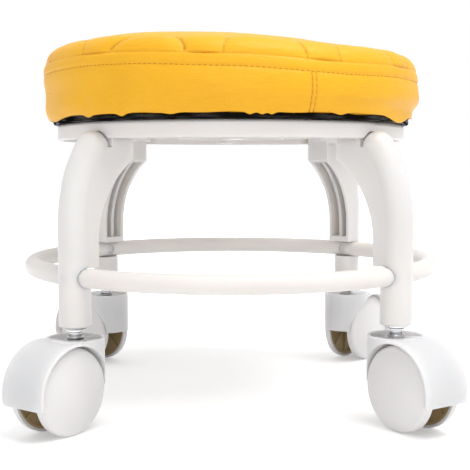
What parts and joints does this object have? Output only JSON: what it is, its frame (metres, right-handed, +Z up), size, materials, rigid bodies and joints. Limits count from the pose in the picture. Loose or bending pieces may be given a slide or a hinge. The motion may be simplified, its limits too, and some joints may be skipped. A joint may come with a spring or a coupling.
{
  "type": "low rolling stool",
  "caption": "Low round stool with a padded quilted seat on a moulded frame of bent legs and a foot ring, on free-swivelling twin-wheel casters.",
  "frame": {"origin": "on the floor under the middle of the seat", "axes": "+Z up from the floor, -Y towards the front of the picture, +X to its right"},
  "size_m": [0.274, 0.2746, 0.2364],
  "materials": {
    "yellow_leather": "soft synthetic leather, sewn",
    "foam": "open-cell foam",
    "plywood": "raw plywood",
    "black_cloth": "non-woven cloth",
    "white_plastic": "satin moulded",
    "tan_nylon": "moulded nylon",
    "white_paint": "white painted screws",
    "zinc": "zinc plated"
  },
  "bodies": {
    "stool_frame": {"seat_cover": "yellow_leather", "seat_foam": "foam", "seat_board": "plywood", "dust_cover": "black_cloth", "cover_staples": "zinc", "seat_tee_nuts": "zinc", "seat_bolts": "zinc", "seat_plate": "white_plastic", "leg_screws": "zinc", "foot_ring": "white_plastic", "ring_screws": "white_paint", "rear_right_leg": "white_plastic", "rear_right_stem_socket": "tan_nylon", "rear_right_caster_stem": "zinc", "rear_right_stem_clip": "zinc", "rear_left_leg": "white_plastic", "rear_left_stem_socket": "tan_nylon", "rear_left_caster_stem": "zinc", "rear_left_stem_clip": "zinc", "front_left_leg": "white_plastic", "front_left_stem_socket": "tan_nylon", "front_left_caster_stem": "zinc", "front_left_stem_clip": "zinc", "front_right_leg": "white_plastic", "front_right_stem_socket": "tan_nylon", "front_right_caster_stem": "zinc", "front_right_stem_clip": "zinc"},
    "rear_right_caster": {"rear_right_caster_hood": "white_plastic", "rear_right_caster_axle": "zinc"},
    "rear_right_left_wheel": {"rear_right_left_wheel_shell": "white_plastic", "rear_right_left_wheel_core": "tan_nylon"},
    "rear_right_right_wheel": {"rear_right_right_wheel_shell": "white_plastic", "rear_right_right_wheel_core": "tan_nylon"},
    "rear_left_caster": {"rear_left_caster_hood": "white_plastic", "rear_left_caster_axle": "zinc"},
    "rear_left_left_wheel": {"rear_left_left_wheel_shell": "white_plastic", "rear_left_left_wheel_core": "tan_nylon"},
    "rear_left_right_wheel": {"rear_left_right_wheel_shell": "white_plastic", "rear_left_right_wheel_core": "tan_nylon"},
    "front_left_caster": {"front_left_caster_hood": "white_plastic", "front_left_caster_axle": "zinc"},
    "front_left_left_wheel": {"front_left_left_wheel_shell": "white_plastic", "front_left_left_wheel_core": "tan_nylon"},
    "front_left_right_wheel": {"front_left_right_wheel_shell": "white_plastic", "front_left_right_wheel_core": "tan_nylon"},
    "front_right_caster": {"front_right_caster_hood": "white_plastic", "front_right_caster_axle": "zinc"},
    "front_right_left_wheel": {"front_right_left_wheel_shell": "white_plastic", "front_right_left_wheel_core": "tan_nylon"},
    "front_right_right_wheel": {"front_right_right_wheel_shell": "white_plastic", "front_right_right_wheel_core": "tan_nylon"}
  },
  "joints": [
    {"name": "rear_right_caster_swivel", "type": "hinge", "parent": "stool_frame", "child": "rear_right_caster", "pos_m": [0.09376, 0.09376, 0.04], "axis": [0, 0, 1], "continuous": true},
    {"name": "rear_right_left_wheel_spin", "type": "hinge", "parent": "rear_right_caster", "child": "rear_right_left_wheel", "pos_m": [0.10313, 0.10416, 0.025], "axis": [-0.7431, 0.6691, 0], "continuous": true},
    {"name": "rear_right_right_wheel_spin", "type": "hinge", "parent": "rear_right_caster", "child": "rear_right_right_wheel", "pos_m": [0.10313, 0.10416, 0.025], "axis": [-0.7431, 0.6691, 0], "continuous": true},
    {"name": "rear_left_caster_swivel", "type": "hinge", "parent": "stool_frame", "child": "rear_left_caster", "pos_m": [-0.09376, 0.09376, 0.04], "axis": [0, 0, 1], "continuous": true},
    {"name": "rear_left_left_wheel_spin", "type": "hinge", "parent": "rear_left_caster", "child": "rear_left_left_wheel", "pos_m": [-0.10416, 0.10313, 0.025], "axis": [-0.6691, -0.7431, 0], "continuous": true},
    {"name": "rear_left_right_wheel_spin", "type": "hinge", "parent": "rear_left_caster", "child": "rear_left_right_wheel", "pos_m": [-0.10416, 0.10313, 0.025], "axis": [-0.6691, -0.7431, 0], "continuous": true},
    {"name": "front_left_caster_swivel", "type": "hinge", "parent": "stool_frame", "child": "front_left_caster", "pos_m": [-0.09376, -0.09376, 0.04], "axis": [0, 0, 1], "continuous": true},
    {"name": "front_left_left_wheel_spin", "type": "hinge", "parent": "front_left_caster", "child": "front_left_left_wheel", "pos_m": [-0.10238, -0.10479, 0.025], "axis": [0.788, -0.6157, 0], "continuous": true},
    {"name": "front_left_right_wheel_spin", "type": "hinge", "parent": "front_left_caster", "child": "front_left_right_wheel", "pos_m": [-0.10238, -0.10479, 0.025], "axis": [0.788, -0.6157, 0], "continuous": true},
    {"name": "front_right_caster_swivel", "type": "hinge", "parent": "stool_frame", "child": "front_right_caster", "pos_m": [0.09376, -0.09376, 0.04], "axis": [0, 0, 1], "continuous": true},
    {"name": "front_right_left_wheel_spin", "type": "hinge", "parent": "front_right_caster", "child": "front_right_left_wheel", "pos_m": [0.10118, -0.10563, 0.025], "axis": [0.848, 0.5299, 0], "continuous": true},
    {"name": "front_right_right_wheel_spin", "type": "hinge", "parent": "front_right_caster", "child": "front_right_right_wheel", "pos_m": [0.10118, -0.10563, 0.025], "axis": [0.848, 0.5299, 0], "continuous": true}
  ]
}
